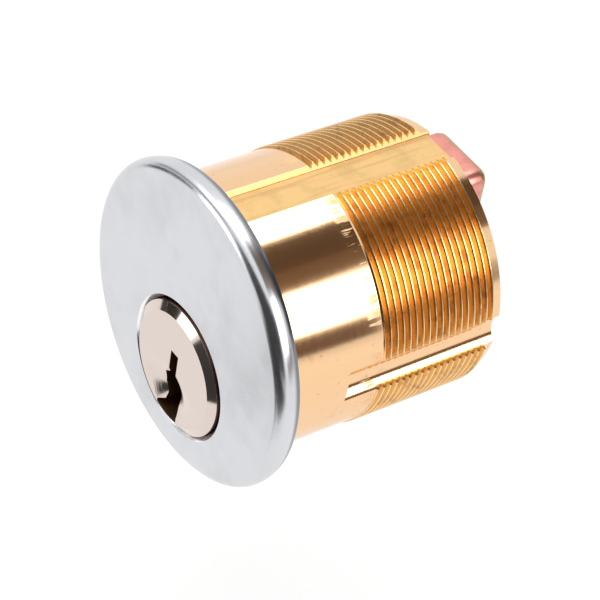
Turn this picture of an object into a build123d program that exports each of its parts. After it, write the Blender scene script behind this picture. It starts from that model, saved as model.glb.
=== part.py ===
"""Mortise lock cylinder: a threaded barrel with its head, a turning plug, six pin stacks and a cam."""

import os
from math import sqrt

from build123d import *

os.makedirs("parts", exist_ok=True)

# The origin is on the barrel's axis at the back of the head, where the head seats.
# +Y runs along the barrel into the door, +Z points to the pin chambers, and +X is
# to the right as seen from the key side. Millimetres throughout.

# Head
head_radius = 17.15
head_thickness = 2.4
rim_face_bevel_width = 0.65
rim_face_bevel_depth = 0.38
rim_side_bevel_width = 0.36
rim_side_bevel_depth = 0.9
rim_back_bevel_width = 0.33
rim_back_bevel_depth = 0.65
seat_relief_width = 0.3
seat_relief_depth = 0.1

# Pin chambers, bored down through the barrel into the plug
chamber_count = 6
first_chamber = 3.47
chamber_pitch = 3.97
end_wall = 3.1
pin_radius = 1.46
pin_clearance = 0.025

# Barrel
shank_radius = 14.5
shank_length = 11.4
thread_rise = 0.18
thread_run_in = 0.25
thread_run_out = 0.4
rear_lip_length = 1.22
rear_lip_drop = 0.28
rear_edge_drop = 0.4

# Set-screw grooves in the two sides of the barrel, round-bottomed
groove_width = 3.7
groove_radius = 2.45
groove_start = 7.6

# Cover that closes the chambers, pressed into a slot along the top of the barrel
cover_width = 4.15
cover_thickness = 0.88
cover_offset = 0.5
cover_set_below = 0.6
cover_side_clearance = 0.02
cover_end_clearance = 0.1
cover_rear_bevel = 0.3

# Plug
plug_drop = 5.71
plug_radius = 6.35
plug_clearance = 0.03
plug_proud = 0.63
plug_rear_stand = 0.15
plug_end_play = 0.05
collar_overhang = 0.95
collar_clearance = 0.1
collar_depth = 2.0
face_chamfer = 0.95
face_chamfer_depth = 0.55
bore_edge_bevel = 0.3

# Keyway as seen from the key side, in heights and widths from the plug's axis: a narrow
# slot at the top, a wide middle that steps out to the left, a waist, and a foot
keyway_top = 2.2
keyway_slot_half = 0.65
keyway_slot_foot = -0.8
keyway_middle_left = -1.55
keyway_middle_right = 1.35
keyway_middle_top = -1.5
keyway_middle_foot = -3.1
keyway_waist_left = -0.95
keyway_waist = -4.2
keyway_ledge = -4.95
keyway_foot_left = -1.9
keyway_foot_right = 1.65
keyway_foot_top = -5.2
keyway_ledge_fall = 0.65
keyway_collar_wall = 0.05

# Dished entry that leads the key into the keyway
entry_radius = 2.95
entry_depth = 1.15
entry_offset = -0.2
entry_drop = 3.1

# Pin stacks: each key pin is a base length and some whole steps longer
pin_base_length = 4.19
pin_step = 0.381
pin_steps = (5, 3, 6, 2, 4, 7)
deepest_steps = 9
tip_height = 1.3
shear_gap = 0.02
driver_length = 4.2
spring_clearance = 0.1

# Cam and the two screws that hold it to the plug
cam_thickness = 3.3
cam_hub_radius = 8.0
cam_lobe_width = 8.6
cam_lobe_offset = 0.7
cam_lobe_reach = 18.1
cam_corner_round = 1.5
cam_edge_bevel = 0.8
cam_root_round = 1.5
screw_radius = 1.4
screw_head_radius = 2.6
screw_inset = 2.15
screw_length = 9.0
screw_hole_clearance = 0.15
screw_thread_clearance = 0.02
screw_slot_width = 0.8
screw_slot_depth = 0.6
screw_slot_angle = 35
screw_hole_spare = 0.5

# Sizes that follow from the ones above
barrel_length = first_chamber + (chamber_count - 1) * chamber_pitch + end_wall
thread_radius = shank_radius + thread_rise
groove_edge = sqrt(shank_radius**2 - (groove_width / 2) ** 2)
groove_axis = groove_edge + sqrt(groove_radius**2 - (groove_width / 2) ** 2)
lip_start = barrel_length - rear_lip_length
chamber_radius = pin_radius + pin_clearance
chamber_stations = [first_chamber + i * chamber_pitch for i in range(chamber_count)]
cover_top = shank_radius - cover_set_below
cover_underside = cover_top - cover_thickness
collar_radius = plug_radius + collar_overhang
counterbore_radius = collar_radius + collar_clearance
plug_face = -head_thickness - plug_proud
plug_end = barrel_length + plug_rear_stand
bore_radius = plug_radius + plug_clearance
counterbore_floor = -head_thickness + collar_depth
shear_line = plug_radius - plug_drop
cam_back = plug_end + cam_thickness
plug_axis = Axis((0, 0, -plug_drop), (0, 1, 0))
entry_at = (entry_offset, plug_face, -plug_drop - entry_drop)
crown_height = plug_radius - shear_gap
crown_edge_height = sqrt(crown_height**2 - pin_radius**2)
screw_spacing = 2 * (plug_radius - screw_inset)
chamber_point_height = chamber_radius * tip_height / pin_radius
spring_radius = pin_radius - spring_clearance
spring_space = cover_underside - (shear_line + shear_gap + driver_length)

# Keyway outline about the plug's axis, clockwise from the top of its narrow slot
keyway_outline = [
    (-keyway_slot_half, keyway_top),
    (keyway_slot_half, keyway_top),
    (keyway_slot_half, keyway_slot_foot),
    (keyway_middle_right, keyway_middle_top),
    (keyway_middle_right, keyway_waist),
    (keyway_foot_right, keyway_foot_top),
    (keyway_foot_right, -collar_radius),
    (keyway_foot_left, -collar_radius),
    (keyway_foot_left, keyway_ledge - keyway_ledge_fall),
    (keyway_waist_left, keyway_ledge),
    (keyway_waist_left, keyway_waist),
    (keyway_middle_left, keyway_middle_foot),
    (keyway_middle_left, keyway_middle_top),
    (-keyway_slot_half, keyway_slot_foot),
]


def across(y, z=0.0):
    """Plane square to the barrel at y, seen from the key side, with its origin at height z."""
    return Plane(origin=(0, y, z), x_dir=(1, 0, 0), z_dir=(0, -1, 0))


def pin_length(steps):
    """Length of the key pin that fits a cut of this many steps."""
    return pin_base_length + steps * pin_step


# Height above the plug's axis where a chamber's wall ends, deep enough for the longest pin
chamber_shoulder = plug_radius - pin_length(deepest_steps) + tip_height


def save(part, name):
    """Label one finished piece and write it."""
    part.label = name
    export_step(part, f"parts/{name}.step")


# Barrel with its head, turned from one bar
with BuildPart() as shell:
    rim_corner = head_radius - rim_side_bevel_width
    rim_corner_y = rim_face_bevel_depth - head_thickness
    with BuildSketch(Plane.XY):
        with BuildLine():
            Polyline(
                (0, -head_thickness),
                (rim_corner - rim_face_bevel_width, -head_thickness),
                (rim_corner, rim_corner_y),
                (head_radius, rim_corner_y + rim_side_bevel_depth),
                (head_radius, -rim_back_bevel_depth),
                (head_radius - rim_back_bevel_width, 0),
                (0, 0),
                close=True,
            )
        make_face()
    revolve(axis=Axis.Y)
    # Corner relief behind the head, so that its back seats on a sharp-edged ring
    with BuildSketch(Plane.XY):
        with BuildLine():
            Polyline(
                (0, -seat_relief_depth),
                (shank_radius + seat_relief_width, -seat_relief_depth),
                (shank_radius + seat_relief_width, 0),
                (0, 0),
                close=True,
            )
        make_face()
    revolve(axis=Axis.Y, mode=Mode.SUBTRACT)
    # Smooth shank, thread to its crests and the tapered lip at the rear
    crest_start = shank_length + thread_run_in
    crest_end = lip_start - thread_run_out
    lip_radius = thread_radius - rear_lip_drop
    with BuildSketch(Plane.XY):
        with BuildLine():
            Polyline(
                (0, -seat_relief_depth),
                (shank_radius, -seat_relief_depth),
                (shank_radius, shank_length),
                (thread_radius, crest_start),
                (thread_radius, crest_end),
                (lip_radius, lip_start),
                (lip_radius - rear_edge_drop, barrel_length),
                (0, barrel_length),
                close=True,
            )
        make_face()
    revolve(axis=Axis.Y)
    # Bore for the plug, with a counterbore for its collar and a bevelled mouth
    with BuildSketch(Plane.XY.offset(-plug_drop)):
        with BuildLine():
            Polyline(
                (0, -head_thickness),
                (counterbore_radius + bore_edge_bevel, -head_thickness),
                (counterbore_radius, bore_edge_bevel - head_thickness),
                (counterbore_radius, counterbore_floor),
                (bore_radius, counterbore_floor),
                (bore_radius, barrel_length),
                (0, barrel_length),
                close=True,
            )
        make_face()
    revolve(axis=plug_axis, mode=Mode.SUBTRACT)
    # Slot for the chamber cover, open at the rear
    with BuildSketch(Plane.XY.offset(cover_underside)):
        with Locations((cover_offset, barrel_length / 2)):
            Rectangle(cover_width, barrel_length)
    extrude(amount=shank_radius, mode=Mode.SUBTRACT)
    # Pin chambers
    with BuildSketch(Plane.XY.offset(cover_underside)):
        with Locations([(0, y) for y in chamber_stations]):
            Circle(chamber_radius)
    extrude(amount=-(cover_underside + plug_drop), mode=Mode.SUBTRACT)
    # Set-screw grooves on both sides, open at the rear
    with BuildSketch(across(groove_start)):
        for side in (-1, 1):
            with Locations((side * groove_axis, 0)):
                Circle(groove_radius)
    extrude(amount=-(barrel_length - groove_start), mode=Mode.SUBTRACT)
save(shell.part, "shell")


# Strip that closes the tops of the chambers
with BuildPart() as chamber_cover:
    with BuildSketch(Plane.XY.offset(cover_underside)):
        with Locations((cover_offset, barrel_length / 2)):
            Rectangle(cover_width - 2 * cover_side_clearance, barrel_length - 2 * cover_end_clearance)
    extrude(amount=cover_thickness)
    rear_top_edge = chamber_cover.edges().group_by(Axis.Y)[-1].sort_by(Axis.Z)[-1]
    chamfer(rear_top_edge, cover_rear_bevel)
save(chamber_cover.part, "chamber_cover")


# Plug with its collar, keyway and the lower halves of the chambers
with BuildPart() as plug:
    collar_back = counterbore_floor - plug_end_play
    with BuildSketch(Plane.XY.offset(-plug_drop)):
        with BuildLine():
            Polyline(
                (0, plug_face),
                (collar_radius - face_chamfer, plug_face),
                (collar_radius, plug_face + face_chamfer_depth),
                (collar_radius, collar_back),
                (plug_radius, collar_back),
                (plug_radius, plug_end),
                (0, plug_end),
                close=True,
            )
        make_face()
    revolve(axis=plug_axis)
    # Keyway: inside the collar it stops short of the rim, and behind it it opens below
    with BuildSketch(across(plug_face, -plug_drop)):
        with BuildLine():
            Polyline(*keyway_outline, close=True)
        make_face()
        Circle(plug_radius - keyway_collar_wall, mode=Mode.INTERSECT)
    extrude(amount=-(plug_end - plug_face), mode=Mode.SUBTRACT)
    with BuildSketch(across(collar_back, -plug_drop)):
        with BuildLine():
            Polyline(*keyway_outline, close=True)
        make_face()
    extrude(amount=-(plug_end - collar_back), mode=Mode.SUBTRACT)
    # Dished entry, a shallow cone
    with BuildSketch(Plane(origin=entry_at, x_dir=(1, 0, 0), z_dir=(0, 0, 1))):
        with BuildLine():
            Polyline((0, 0), (entry_radius, 0), (0, entry_depth), close=True)
        make_face()
    revolve(axis=Axis(entry_at, (0, 1, 0)), mode=Mode.SUBTRACT)
    # Lower halves of the chambers, each with a drilled point that takes the pin's tip
    with BuildSketch(Plane.XY.offset(shear_line)):
        with Locations([(0, y) for y in chamber_stations]):
            Circle(chamber_radius)
    extrude(amount=chamber_shoulder - plug_radius, mode=Mode.SUBTRACT)
    with Locations([(0, y, chamber_shoulder - plug_drop) for y in chamber_stations]):
        Cone(
            0,
            chamber_radius,
            chamber_point_height,
            align=(Align.CENTER, Align.CENTER, Align.MAX),
            mode=Mode.SUBTRACT,
        )
    # Tapped holes for the cam screws
    with BuildSketch(across(plug_end, -plug_drop)):
        with GridLocations(screw_spacing, 0, 2, 1):
            Circle(screw_radius + screw_thread_clearance)
    extrude(amount=screw_length - cam_thickness + screw_hole_spare, mode=Mode.SUBTRACT)
save(plug.part, "plug")


# Cam: a hub over the plug's rear end and one lobe that points at the pins
with BuildPart() as cam:
    with BuildSketch(across(cam_back, -plug_drop)) as cam_outline:
        with Locations((cam_lobe_offset, 0)):
            Rectangle(cam_lobe_width, cam_lobe_reach, align=(Align.CENTER, Align.MIN))
        fillet(cam_outline.vertices().group_by(Axis.Y)[-1], cam_corner_round)
        Circle(cam_hub_radius)
        roots = cam_outline.vertices().filter_by_position(Axis.Y, cam_root_round, cam_hub_radius)
        fillet(roots, cam_root_round)
    extrude(amount=cam_thickness)
    chamfer(cam.faces().sort_by(Axis.Y)[-1].outer_wire().edges(), cam_edge_bevel)
    with Locations(Plane(origin=(0, cam_back, -plug_drop), x_dir=(1, 0, 0), z_dir=(0, 1, 0))):
        with GridLocations(screw_spacing, 0, 2, 1):
            CounterSinkHole(
                screw_radius + screw_hole_clearance,
                screw_head_radius + screw_hole_clearance,
                depth=cam_thickness,
                counter_sink_angle=90,
            )
save(cam.part, "cam")


# Cam screws: flat heads with a driver slot
for number, side in enumerate((-1, 1), start=1):
    screw_at = (side * screw_spacing / 2, cam_back, -plug_drop)
    with BuildPart() as cam_screw:
        with BuildSketch(Plane(origin=screw_at, x_dir=(1, 0, 0), z_dir=(0, 0, 1))):
            with BuildLine():
                Polyline(
                    (0, 0),
                    (screw_head_radius, 0),
                    (screw_radius, screw_radius - screw_head_radius),
                    (screw_radius, -screw_length),
                    (0, -screw_length),
                    close=True,
                )
            make_face()
        revolve(axis=Axis(screw_at, (0, 1, 0)))
        with BuildSketch(Plane(origin=screw_at, x_dir=(1, 0, 0), z_dir=(0, 1, 0))):
            Rectangle(2 * screw_head_radius, screw_slot_width, rotation=side * screw_slot_angle)
        extrude(amount=-screw_slot_depth, mode=Mode.SUBTRACT)
    save(cam_screw.part, f"cam_screw_{number}")


# Pin stacks: key pin in the plug, driver pin and spring in the barrel
for number, (station, steps) in enumerate(zip(chamber_stations, pin_steps), start=1):
    with BuildPart() as key_pin:
        with BuildSketch(across(station, -plug_drop)):
            with BuildLine():
                tip = crown_height - pin_length(steps)
                Polyline(
                    (0, crown_height),
                    (0, tip),
                    (pin_radius, tip + tip_height),
                    (pin_radius, crown_edge_height),
                    close=True,
                )
            make_face()
        revolve(axis=Axis((0, station, 0), (0, 0, 1)))
    save(key_pin.part, f"key_pin_{number}")

    with BuildPart() as driver_pin:
        with BuildSketch(Plane.XY.offset(shear_line + shear_gap)):
            with Locations((0, station)):
                Circle(pin_radius)
        extrude(amount=driver_length)
    save(driver_pin.part, f"driver_pin_{number}")

    # The room that the spring's coil takes up
    with BuildPart() as pin_spring:
        with BuildSketch(Plane.XY.offset(shear_line + shear_gap + driver_length)):
            with Locations((0, station)):
                Circle(spring_radius)
        extrude(amount=spring_space)
    save(pin_spring.part, f"pin_spring_{number}")
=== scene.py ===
"""Mortise lock cylinder with its pins, springs and cam, dressed for a studio picture in Blender 4.5."""

from math import asin, atan2, cos, radians, sin, sqrt, tan, tau

import bmesh
import bpy
from bpy.props import FloatProperty, FloatVectorProperty, IntProperty, PointerProperty
from mathutils import Euler, Matrix, Vector


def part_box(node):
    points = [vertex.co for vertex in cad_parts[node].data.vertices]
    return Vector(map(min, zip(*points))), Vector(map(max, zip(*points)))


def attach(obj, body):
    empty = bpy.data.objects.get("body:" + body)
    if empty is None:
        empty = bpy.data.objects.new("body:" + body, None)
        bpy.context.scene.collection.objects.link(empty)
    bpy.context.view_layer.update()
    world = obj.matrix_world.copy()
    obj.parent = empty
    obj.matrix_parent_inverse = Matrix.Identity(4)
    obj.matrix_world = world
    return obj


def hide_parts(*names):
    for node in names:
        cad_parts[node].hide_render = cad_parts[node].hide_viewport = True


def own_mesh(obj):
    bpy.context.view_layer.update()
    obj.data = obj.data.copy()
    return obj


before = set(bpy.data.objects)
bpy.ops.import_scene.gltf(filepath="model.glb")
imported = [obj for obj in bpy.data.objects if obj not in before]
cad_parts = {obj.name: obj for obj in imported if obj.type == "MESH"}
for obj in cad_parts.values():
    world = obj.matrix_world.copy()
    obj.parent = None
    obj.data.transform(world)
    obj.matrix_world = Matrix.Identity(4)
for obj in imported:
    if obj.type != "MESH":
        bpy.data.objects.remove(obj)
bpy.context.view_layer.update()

bl_info = {
    "name": "Lock cylinder",
    "version": (1, 0, 0),
    "blender": (4, 5, 0),
    "location": "3D View > Sidebar > Lock Cylinder",
    "description": "Models a mortise lock cylinder piece by piece, in metres, around its packed frame",
    "category": "Object",
}

# The frame's own boxes give the sizes that the CAD parts share with the pieces here.
shell_low, shell_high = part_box("shell")
cover_low, cover_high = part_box("chamber_cover")
plug_low, plug_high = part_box("plug")
cam_low, cam_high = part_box("cam")
plug_height = (plug_low.z + plug_high.z) / 2
pin_numbers = range(1, 7)
ALONG = Vector((0, 1, 0))
UP = Vector((0, 0, 1))
ACROSS = Vector((1, 0, 0))
TINY = 1e-6

# How far the cutting tools reach past the faces that they open
OVERSHOOT = 0.001

# One turn of thread as (part of the pitch, part of the depth), from the start of its crest
THREAD_FORM = (
    (0.0, 0.0),
    (0.12, 0.0),
    (0.19, 0.12),
    (0.45, 0.88),
    (0.51, 1.0),
    (0.61, 1.0),
    (0.67, 0.88),
    (0.93, 0.12),
)

# Keyway as seen from the key side, in metres across and up from the plug's axis
KEYWAY_FLOOR = -0.0073
KEYWAY_OUTLINE = (
    (-0.00065, 0.0022),
    (0.00065, 0.0022),
    (0.00065, -0.0008),
    (0.00135, -0.0015),
    (0.00135, -0.0042),
    (0.00165, -0.0052),
    (0.00165, KEYWAY_FLOOR),
    (-0.0019, KEYWAY_FLOOR),
    (-0.0019, -0.0056),
    (-0.00095, -0.00495),
    (-0.00095, -0.0042),
    (-0.00155, -0.0031),
    (-0.00155, -0.0015),
    (-0.00065, -0.0008),
)


def length(name, description, default):
    """Property for a length, or for a place along an axis, in metres."""
    kind = {"subtype": "DISTANCE", "unit": "LENGTH"}
    return FloatProperty(name=name, description=description, default=default, **kind)


def angle(name, description, default):
    """Property for an angle, in radians."""
    return FloatProperty(name=name, description=description, default=default, subtype="ANGLE")


def colour(name, description, default):
    """Property for a finish's colour."""
    return FloatVectorProperty(
        name=name, description=description, default=default, size=3, min=0, max=1, subtype="COLOR"
    )


class HeadSizes(bpy.types.PropertyGroup):
    radius: length("Head radius", "Radius of the head's outer rim", shell_high.x)
    rim_widest: length("Rim's widest place", "Where the round edge of the face ends", -0.00115)
    rim_back_round: length("Rim back round", "Radius of the rim's slow curve towards its back", 0.00206)
    seat_radius: length("Seat radius", "Inner radius of the ring on which the head seats", 0.0148)
    seat_relief: length("Seat relief", "Depth of the corner relief in which the barrel starts", 0.0001)


class BoreSizes(bpy.types.PropertyGroup):
    radius: length("Bore radius", "Radius of the bore in which the plug turns", 0.00638)
    counterbore_radius: length("Counterbore radius", "Radius of the room for the plug's collar", 0.0074)
    counterbore_floor: length("Counterbore floor", "Where the counterbore ends", -0.0004)
    mouth_bevel: length("Mouth bevel", "Bevel round the mouth of the counterbore", 0.00045)
    chamber_radius: length("Chamber radius", "Radius of the six pin chambers", 0.001485)


class BarrelSizes(bpy.types.PropertyGroup):
    shank_radius: length("Shank radius", "Radius of the smooth part behind the head", 0.0145)
    crest_radius: length("Crest radius", "Radius of the thread over its crests", 0.01468)
    thread_depth: length("Thread depth", "Height of the thread from root to crest", 0.00049)
    thread_pitch: length("Thread pitch", "Distance between two crests", 0.00079375)
    thread_start: length("Thread start", "Where the shank ends and the thread begins", 0.0114)
    thread_run_in: length("Thread run-in", "Length over which the thread reaches full depth", 0.00025)
    lip_length: length("Lip length", "Length of the plain lip at the rear", 0.00122)
    lip_radius: length("Lip radius", "Radius of the lip next to the thread", 0.01428)
    lip_end_radius: length("Lip end radius", "Radius of the lip at the rear face", 0.01412)
    groove_start: length("Groove start", "Where the two set-screw grooves begin", 0.0076)
    groove_width: length("Groove width", "Width of each set-screw groove", 0.0039)
    groove_radius: length("Groove radius", "Radius of the grooves' round bottom", 0.0023)
    slot_left: length("Slot left wall", "Left wall of the slot for the chamber cover", -0.001575)
    slot_right: length("Slot right wall", "Right wall of the slot for the chamber cover", 0.002575)
    crest_flat: length("Crest flat", "Height to which the crests beside the cover are milled off", 0.01429)
    crest_flat_width: length("Crest flat width", "How far right of the slot the crests are milled off", 0.002)
    slot_bevel_foot: length("Slot bevel foot", "Height at which the bevel left of the cover ends", 0.01393)
    slot_bevel_slope: angle("Slot bevel slope", "How steeply that bevel falls", radians(45))
    tick_length: length("Tick length", "Length of the chatter ticks before the thread", 0.0022)
    turns: IntProperty(name="Turning steps", description="Flats round the barrel", default=240, min=24)


class CoverSizes(bpy.types.PropertyGroup):
    rear_bevel: length("Rear bevel", "Bevel on the cover's rear top edge", 0.0003)
    edge_break: length("Edge break", "Small bevel on the cover's other edges", 0.00006)


class PlugSizes(bpy.types.PropertyGroup):
    radius: length("Plug radius", "Radius of the plug in the bore", 0.00635)
    face_chamfer: length("Face chamfer", "Width of the bright bevel round the plug's face", 0.00095)
    face_chamfer_depth: length("Face chamfer depth", "How far that bevel falls back", 0.00055)
    collar_back: length("Collar back", "Where the collar ends", -0.00045)
    rear_break: length("Rear break", "Bevel at the plug's rear edge", 0.00015)
    entry_radius: length("Entry radius", "Radius of the dished entry for the key", 0.00295)
    entry_depth: length("Entry depth", "Depth of the dished entry", 0.00115)
    entry_offset: length("Entry offset", "How far right of the axis the entry is centred", -0.0002)
    entry_drop: length("Entry drop", "How far below the axis the entry is centred", 0.0031)
    keyway_inset: length("Keyway inset", "Wall left between keyway and bore within the collar", 0.00005)
    chamber_shoulder: length("Chamber shoulder", "Height above the axis at a chamber's foot", 0.000031)
    chamber_point: length("Chamber point", "Depth of the drilled point under a chamber", 0.00132226)


class CamSizes(bpy.types.PropertyGroup):
    hub_radius: length("Hub radius", "Radius of the cam round the plug's axis", 0.008)
    lobe_width: length("Lobe width", "Width of the lobe", 0.0086)
    lobe_offset: length("Lobe offset", "How far right of the plug's axis the lobe is centred", 0.0007)
    corner_round: length("Corner round", "Radius of the lobe's corners", 0.0015)
    root_round: length("Root round", "Radius of the hollow where lobe and hub meet", 0.0015)
    rear_bevel: length("Rear bevel", "Bevel round the cam's rear edge", 0.0011)
    edge_break: length("Edge break", "Small bevel round the cam's front edge", 0.00012)
    screw_spacing: length("Screw spacing", "Distance between the two screws", 0.0084)
    screw_radius: length("Screw radius", "Radius of a screw's shank", 0.0014)
    screw_head_radius: length("Screw head radius", "Radius of a screw's flat head", 0.0026)
    screw_length: length("Screw length", "Length of a screw", 0.009)
    thread_gap: length("Thread gap", "Gap between a screw and its hole in the plug", 0.00002)
    hole_room: length("Hole room", "Room in the plug under a screw's end", 0.0005)
    hole_clearance: length("Hole clearance", "Gap between a screw and the cam", 0.00015)
    driver_slot_width: length("Driver slot width", "Width of the slot in a screw's head", 0.0008)
    driver_slot_depth: length("Driver slot depth", "Depth of the slot in a screw's head", 0.0006)
    driver_slot_turn: angle("Driver slot turn", "How far the slots are turned", radians(35))


class PinSizes(bpy.types.PropertyGroup):
    radius: length("Pin radius", "Radius of the pins", 0.00146)
    tip_height: length("Tip height", "Height of a key pin's point", 0.0013)
    tip_flat: length("Tip flat", "Radius of the blunt end of a key pin's point", 0.00012)
    edge_break: length("Edge break", "Rounding of a pin's edges", 0.00012)
    wire_radius: length("Wire radius", "Radius of the spring wire", 0.00019)
    coil_radius: length("Coil radius", "Radius of a spring over its wire", 0.00136)
    coil_turns: IntProperty(name="Coil turns", description="Turns in each spring", default=8, min=2)
    travel: length("Travel", "How far a driver pin moves up", 0.0045)


class Finishes(bpy.types.PropertyGroup):
    chrome: colour("Chrome", "Satin plate on the head", (0.695, 0.70, 0.725))
    # Painted highlight: near-white colour on the mouth's bevel round the hole in the head
    painted_mouth_highlight: colour("Bright edge", "Bare bright edge of the hole in the head", (0.95, 0.96, 0.98))
    brass: colour("Brass", "Bright brass of the barrel", (0.92, 0.60, 0.34))
    brass_stain: colour("Brass stain", "Darker stains on the barrel", (0.45, 0.22, 0.08))
    thread_crest: colour("Thread crest", "Brass of the thread's crests", (0.95, 0.66, 0.36))
    # Painted shade and oil: darker brass down in the thread's roots and flanks
    thread_root_oil_and_shade: colour("Thread root", "Oily brass down in the thread", (0.78, 0.40, 0.11))
    # Painted shade: darker brass for the hollows inside the keyway and the chambers
    cut_brass: colour("Cut brass", "Oily brass inside the keyway and the chambers", (0.50, 0.31, 0.17))
    # Painted shade and dirt: dark ring on the collar's side, down in the gap round the plug
    gap_shade_and_dirt: colour("Gap dirt", "Dark dirt in the ring round the plug", (0.10, 0.05, 0.035))
    # Painted shade: dark blue-grey colour along the rim's back edge
    rim_back_shade: colour("Rim back", "Dull plate along the rim's back edge", (0.20, 0.22, 0.25))
    cover: colour("Cover brass", "Milled brass of the chamber cover", (0.88, 0.58, 0.25))
    cover_streak: colour("Cover streaks", "Darker lengthwise streaks on the cover", (0.74, 0.44, 0.18))
    nickel: colour("Nickel", "Warm plate on the plug", (0.725, 0.625, 0.57))
    copper: colour("Copper", "Copper-tinted cam", (0.82, 0.34, 0.275))
    cam_edge: colour("Cam edge", "Brass that shows along the cam's rear edge", (0.55, 0.36, 0.20))
    steel: colour("Steel", "Plated steel of the screws", (0.58, 0.57, 0.54))
    spring: colour("Spring bronze", "Bronze wire of the springs", (0.62, 0.40, 0.22))


class StageSettings(bpy.types.PropertyGroup):
    camera_place: FloatVectorProperty(
        name="Camera place", description="Where the camera stands", default=(0.14515, -0.11356, 0.16787),
        size=3, precision=5, subtype="TRANSLATION", unit="LENGTH",
    )
    camera_turn: FloatVectorProperty(
        name="Camera turn", description="How the camera is turned",
        default=(radians(48.002), radians(-7.736), radians(56.055)), size=3, subtype="EULER",
    )
    lens: FloatProperty(name="Lens", description="Focal length in millimetres", default=150)
    sensor: FloatProperty(name="Sensor", description="Width of the sensor in millimetres", default=36)
    floor_height: length("Floor height", "Height of the table under the cylinder", -0.045)
    floor_size: length("Floor size", "Width of the table", 4.0)
    card_distance: length("Card distance", "How far the dark cards stand from the cylinder", 0.3)
    lamp_distance: length("Lamp distance", "How far the lamps stand from the cylinder", 0.305)


def new_object(name, bm, *materials):
    """Finish a bmesh as a mesh object in the scene."""
    mesh = bpy.data.meshes.new(name)
    bm.to_mesh(mesh)
    bm.free()
    for material in materials:
        mesh.materials.append(material)
    piece = bpy.data.objects.new(name, mesh)
    bpy.context.scene.collection.objects.link(piece)
    return piece


def close_up(bm):
    """Merge doubled vertices and point every face outwards."""
    bmesh.ops.remove_doubles(bm, verts=bm.verts, dist=TINY)
    bmesh.ops.dissolve_degenerate(bm, edges=bm.edges, dist=TINY)
    bmesh.ops.recalc_face_normals(bm, faces=bm.faces)


def smooth(piece, angle=radians(30)):
    """Shade smooth, with edges sharper than the angle kept crisp."""
    piece.data.shade_smooth()
    piece.data.set_sharp_from_angle(angle=angle)


def line(bm, points):
    """Open chain of vertices and edges through the points."""
    verts = [bm.verts.new(point) for point in points]
    edges = [bm.edges.new(pair) for pair in zip(verts, verts[1:])]
    return verts + edges


def spin_round(bm, geometry, centre, axis, steps):
    """Sweep geometry a full turn and join its ends."""
    bmesh.ops.spin(bm, geom=geometry, cent=centre, axis=axis, angle=tau, steps=steps, use_merge=True)


def turned(profile, centre, axis, steps, bm=None):
    """Shape spun from (radius, height) points about the line through centre along axis."""
    if bm is None:
        bm = bmesh.new()
    centre = Vector(centre)
    points = [centre + ACROSS * radius + axis * high for radius, high in profile]
    spin_round(bm, line(bm, points), centre, axis, steps)
    close_up(bm)
    return bm


def rod(radius, low, high, point=0.0):
    """Profile of a round rod, with a drill's point below it if one is given."""
    return [(0, low - point), (radius, low), (radius, high), (0, high)]


def rectangle(left, right, low, high):
    """Corners of an upright rectangle."""
    return [(left, low), (right, low), (right, high), (left, high)]


def thicken(bm, distance):
    """Raise flat faces along the barrel into a solid."""
    raised = bmesh.ops.extrude_face_region(bm, geom=list(bm.faces))["geom"]
    moved = [item for item in raised if isinstance(item, bmesh.types.BMVert)]
    bmesh.ops.translate(bm, verts=moved, vec=ALONG * distance)
    close_up(bm)


def prism(outline, start, end, centre=Vector()):
    """Solid with an (across, up) outline about a centre, from start to end along the barrel."""
    bm = bmesh.new()
    bm.faces.new([bm.verts.new((centre.x + x, start, centre.z + z)) for x, z in outline])
    thicken(bm, end - start)
    return bm


def edges_at(bm, end):
    """Edges that lie at one place along the barrel."""
    return [edge for edge in bm.edges if all(abs(vert.co.y - end) < TINY for vert in edge.verts)]


def bevel(bm, geometry, width, segments, affect="EDGES", clamp_overlap=False):
    """Bevel or round some edges or corners."""
    bmesh.ops.bevel(
        bm, geom=geometry, offset=width, offset_type="OFFSET", affect=affect,
        segments=segments, profile=0.5, material=-1, clamp_overlap=clamp_overlap,
    )


def cut(piece, tools, operation="DIFFERENCE"):
    """Apply tools to a piece one after another and delete them."""
    for tool in tools:
        modifier = piece.modifiers.new("cut", "BOOLEAN")
        modifier.operation = operation
        modifier.solver = "EXACT"
        modifier.material_mode = "TRANSFER"
        modifier.object = tool
    depsgraph = bpy.context.evaluated_depsgraph_get()
    finished = bpy.data.meshes.new_from_object(piece.evaluated_get(depsgraph))
    piece.modifiers.clear()
    piece.data = finished
    finished.name = piece.name
    for tool in tools:
        bpy.data.objects.remove(tool)


def dress(piece, slot, body, *nodes):
    """Give a finished piece its body and hide the nodes it stands for."""
    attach(piece, body)
    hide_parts(*nodes)


# Materials


def is_linked(value):
    """Whether a value is another node's output."""
    return isinstance(value, bpy.types.NodeSocket)


def shader_node(tree, kind, inputs=None, **settings):
    """Add a node with its settings, each of its inputs given a value or linked."""
    node = tree.nodes.new(kind)
    for name, value in settings.items():
        setattr(node, name, value)
    for name, value in (inputs or {}).items():
        if is_linked(value):
            tree.links.new(value, node.inputs[name])
        else:
            node.inputs[name].default_value = value
    return node


def combine(tree, operation, *values):
    """Fold values, each given or linked, with one kind of sum."""
    total = values[0]
    for value in values[1:]:
        total = shader_node(tree, "ShaderNodeMath", {0: total, 1: value}, operation=operation).outputs[0]
    return total


def blend_values(tree, first, second, amount):
    """Mix two linked values."""
    return shader_node(tree, "ShaderNodeMix", {0: amount, 2: first, 3: second}).outputs[0]


def blend_colours(tree, first, second, amount):
    """Mix two colours, each given or linked, by a linked amount."""
    first, second = [shade if is_linked(shade) else (*shade, 1) for shade in (first, second)]
    return shader_node(tree, "ShaderNodeMix", {0: amount, 6: first, 7: second}, data_type="RGBA").outputs[2]


def darker(shade, share):
    """A share of a colour's brightness."""
    return [share * part for part in shade]


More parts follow.
